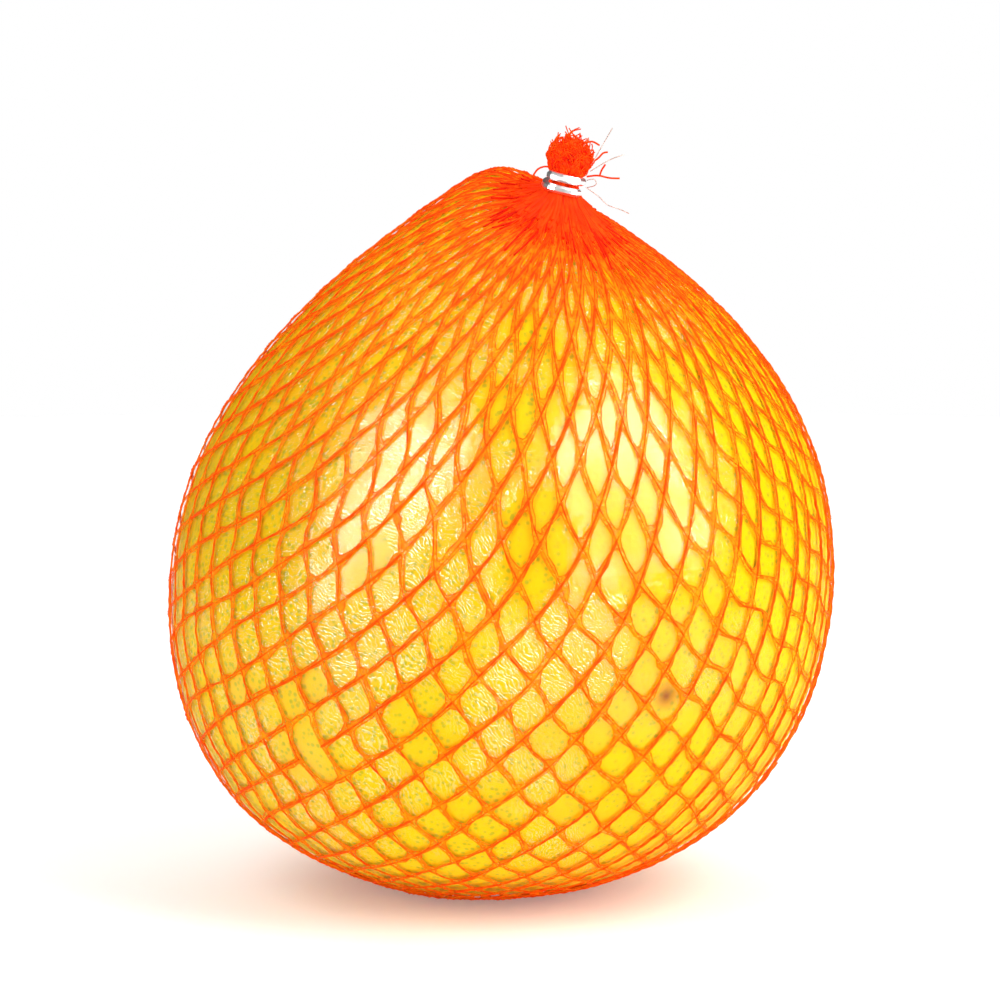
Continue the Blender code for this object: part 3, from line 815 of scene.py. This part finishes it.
# Gathered ends of the net
# At the neck the strands of the net run together, go through the wire clip and stand up as a frayed
# tuft. Underneath they go through the second clip and are cut off short above the table.
CLIP_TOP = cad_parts["clip_top"]
CLIP_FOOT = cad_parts["clip_bottom"]
NECK_AXIS = np.array([0.235, -0.06, 0.97])
FOOT_AXIS = np.array([0.0, 0.0, -1.0])
BUNDLE_RADIUS = 0.0024
BUNDLE_SHARES = (0.05, 1.0)
BUNDLE_RISES = (-0.0022, 0.0, 0.0020)
YARN_POINTS = 42
YARN_DRIFT = 2.4
YARN_REACHES = (0.35, 1.0)
YARN_LIFTS = (0.0002, 0.0011)
GROUND_POINTS = 12
TAIL_FROM = 0.0030
TAIL_POINTS = 18
TAIL_LENGTHS = (0.60, 1.0)
TAIL_OUTER_CUT = 0.30
TAIL_PITCHES = (700, 2200)
TAIL_BULGE = 0.95
TAIL_BULGE_POWER = 0.8
TAIL_BULGE_PLACE = 1.05
AXIAL_CURL = 0.6
# Painted shade: darker red yarns laid from the clip over the neck stand in for the shadows in its pleats
PLEAT_SHADE_TONES = ((0.66, 0.010, 0.0005), (0.86, 0.020, 0.001), 0.0)
# Count of yarns, first row and rows run over, tail (length, spread across and in depth, curl), and seed
NECK_YARNS = (380, 0.3, 1.2, (0.0120, 0.95, 0.8, 0.0022), 41)
NECK_FILL = (110, 0.3, 0.7, (0.0102, 0.90, 0.70, 0.0016), 43)
NECK_PLEAT_SHADE_YARNS = (60, 0.3, 1.7, (0.0100, 0.95, 0.8, 0.0018), 53)
FOOT_YARNS = (90, ROW_COUNT - 1.3, -2.0, (0.0029, 0.8, 0.8, 0.0002), 47)
# Radius and sides of the yarns
NECK_YARN_SHAPE = (0.00015, 3)
NECK_FILL_SHAPE = (0.00055, 5)
NECK_PLEAT_SHADE_SHAPE = (0.00024, 3)
FOOT_YARN_SHAPE = (0.00030, 4)


def middle_of(thing):
    """The middle of an object's box in the world."""
    corners = np.array([thing.matrix_world @ Vector(corner) for corner in thing.bound_box])
    return (corners.min(axis=0) + corners.max(axis=0)) / 2


def resampled(path, count):
    """A path of count points at even distances along this one, with its corners eased."""
    for _ in range(3):
        path[1:-1] = 0.5 * path[1:-1] + 0.25 * (path[:-2] + path[2:])
    travelled = np.concatenate([[0.0], np.cumsum(np.linalg.norm(np.diff(path, axis=0), axis=1))])
    even = np.linspace(0, travelled[-1], count)
    return np.stack([np.interp(even, travelled, path[:, axis]) for axis in range(3)], axis=-1)


def square_to(axis, way, other=None):
    """The unit vector nearest to way at right angles to the axis and to another vector."""
    square = way - axis * (way @ axis)
    if other is not None:
        square = square - other * (way @ other)
    return square / np.linalg.norm(square)


def gathered_yarns(clip_middle, axis, count, from_row, reach_rows, tail, seed):
    """Yarns that run over the net's last rows, through a clip and out into a tuft.

    tail is the tuft's length, its spread at the top across and in depth, and how much its yarns curl.
    """
    draw = np.random.default_rng(seed)
    axis = axis / np.linalg.norm(axis)
    across = square_to(axis, np.array([1.0, 0.0, 0.0]))
    depth = square_to(axis, np.array([0.0, 1.0, 0.0]), across)
    length, spread_across, spread_depth, curl = tail
    paths = []
    for _ in range(count):
        turn = draw.uniform(0, 2 * math.pi)
        drift = draw.uniform(-YARN_DRIFT, YARN_DRIFT)
        rows = np.linspace(from_row + (reach_rows * draw.uniform(*YARN_REACHES)), from_row, GROUND_POINTS)
        columns = MESHES * turn / (2 * math.pi) + drift * np.abs(rows - from_row) / max(abs(reach_rows), 1)
        lift = WEB_LIFT + draw.uniform(*YARN_LIFTS)
        ground = net_place(columns, rows, np.full(GROUND_POINTS, lift))
        packed = BUNDLE_RADIUS * math.sqrt(draw.uniform(*BUNDLE_SHARES))
        outward = math.cos(turn) * across + math.sin(turn) * depth
        fan = math.cos(turn) * spread_across * across + math.sin(turn) * spread_depth * depth
        bundle = [clip_middle + axis * rise + outward * packed for rise in BUNDLE_RISES]
        outer_cut = 1 - TAIL_OUTER_CUT * (packed / BUNDLE_RADIUS) ** 2
        own_length = length * draw.uniform(*TAIL_LENGTHS) * outer_cut
        wave = draw.uniform(0, 2 * math.pi, 4)
        pitch = draw.uniform(*TAIL_PITCHES, 2)
        for rise in np.linspace(TAIL_FROM, own_length, TAIL_POINTS):
            share = rise / length
            bulge = math.sin(math.pi * min(share * TAIL_BULGE_PLACE, 1.0)) ** TAIL_BULGE_POWER * TAIL_BULGE
            curls = math.sin(wave[0] + rise * pitch[0]) * across
            curls = curls + math.sin(wave[1] + rise * pitch[1]) * depth
            curls = curls + AXIAL_CURL * math.sin(wave[2] + rise * pitch[0]) * axis
            bundle.append(clip_middle + axis * rise + fan * packed * (1 + bulge) + curls * curl * share)
        paths.append(resampled(np.concatenate([ground, np.array(bundle)]), YARN_POINTS))
    return np.array(paths)


neck_middle = middle_of(CLIP_TOP)
foot_middle = middle_of(CLIP_FOOT)
# The darker red pleat yarns are painted shade for the shadows in the neck's pleats
pleat_shade_yarn = yarn_material("painted_pleat_shade_yarn", *PLEAT_SHADE_TONES)
for name, yarns, shape, material in (
        ("neck_yarns", NECK_YARNS, NECK_YARN_SHAPE, loop_yarn),
        ("neck_fill", NECK_FILL, NECK_FILL_SHAPE, chain_yarn),
        ("neck_pleat_shade", NECK_PLEAT_SHADE_YARNS, NECK_PLEAT_SHADE_SHAPE, pleat_shade_yarn)):
    points, faces = sweep(gathered_yarns(neck_middle, NECK_AXIS, *yarns), *shape, False)
    add_piece(name, points, faces, material).visible_shadow = False
points, faces = sweep(gathered_yarns(foot_middle, FOOT_AXIS, *FOOT_YARNS), *FOOT_YARN_SHAPE, False)
add_piece("foot_yarns", points, faces, chain_yarn)

# Loose threads
# A few stiff ends of the cut net stand out beside the tuft: short orange ends and some clear filaments.
# Their points are measured to the right of the top clip and upwards from it.
TWIGS = [
    [(0.0050, 0.0014), (0.0075, 0.0018), (0.0098, 0.0011), (0.0122, 0.0011)],
    [(0.0078, 0.0016), (0.0082, 0.0028), (0.0091, 0.0041)],
    [(0.0055, 0.0042), (0.0075, 0.0053), (0.0085, 0.0066), (0.0096, 0.0067)],
    [(-0.0067, 0.0018), (-0.0058, 0.0031), (-0.0042, 0.0036), (-0.0028, 0.0033)],
    [(0.0040, 0.0085), (0.0062, 0.0092), (0.0078, 0.0081)],
]
TWIG_POINTS = 14
TWIG_DEPTH_STEP = 0.0012
TWIG_RADIUS = 0.00022
TWIG_SIDES = 5
FILAMENTS = [
    [(0.0060, 0.0040), (0.0085, 0.0085), (0.0106, 0.0122)],
    [(0.0058, 0.0026), (0.0100, 0.0052), (0.0133, 0.0063)],
    [(0.0048, -0.0009), (0.0078, -0.0030), (0.0095, -0.0050), (0.0118, -0.0056), (0.0144, -0.0068)],
    [(0.0050, 0.0006), (0.0068, 0.0010), (0.0074, -0.0006), (0.0052, -0.0012)],
]
FILAMENT_POINTS = 18
FILAMENT_DEPTH_STEP = 0.0015
FILAMENT_RADIUS = 0.00010
FILAMENT_SIDES = 4
FILAMENT_TONES = [(0.4, (0.50, 0.30, 0.22)), (0.6, (0.72, 0.58, 0.50))]
FILAMENT_NOISE = 700.0
FILAMENT_ROUGHNESS = 0.2


def thread_paths(routes, count, depth_step):
    """Curves through these places beside the top clip, each a little further back than the last."""
    paths = []
    for number, route in enumerate(routes):
        back = np.linspace(0, depth_step * (number - 1), len(route))
        places = [neck_middle + np.array([right, step, up]) for (right, up), step in zip(route, back)]
        paths.append(resampled(np.repeat(np.array(places), 3, axis=0), count))
    return np.array(paths)


points, faces = sweep(thread_paths(TWIGS, TWIG_POINTS, TWIG_DEPTH_STEP), TWIG_RADIUS, TWIG_SIDES, False)
add_piece("loose_twigs", points, faces, chain_yarn)


def filament_material():
    """Clear plastic filament with a warm tinge."""
    material, tree, shader, coordinates = new_material("clear_filament")
    tone = ramp(tree, FILAMENT_TONES, noise(tree, coordinates, FILAMENT_NOISE))
    tree.links.new(tone, shader.inputs["Base Color"])
    shader.inputs["Roughness"].default_value = FILAMENT_ROUGHNESS
    return material


filament_paths = thread_paths(FILAMENTS, FILAMENT_POINTS, FILAMENT_DEPTH_STEP)
points, faces = sweep(filament_paths, FILAMENT_RADIUS, FILAMENT_SIDES, False)
add_piece("loose_filaments", points, faces, filament_material())

# Clips
# Round aluminium wire, closed round the gathered net so that its two legs pass each other in front. The
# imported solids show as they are, in a bright drawn-wire finish.
WIRE_TONES = [(0.35, (0.74, 0.72, 0.72)), (0.65, (0.92, 0.91, 0.91))]
WIRE_NOISE = 400.0
WIRE_ROUGHNESS = 0.3

for clip in (CLIP_TOP, CLIP_FOOT):
    material, tree, shader, coordinates = new_material(clip.name + "_wire")
    tone = ramp(tree, WIRE_TONES, noise(tree, coordinates, WIRE_NOISE))
    tree.links.new(tone, shader.inputs["Base Color"])
    shader.inputs["Metallic"].default_value = 1.0
    shader.inputs["Roughness"].default_value = WIRE_ROUGHNESS
    clip.data.materials.clear()
    clip.data.materials.append(material)
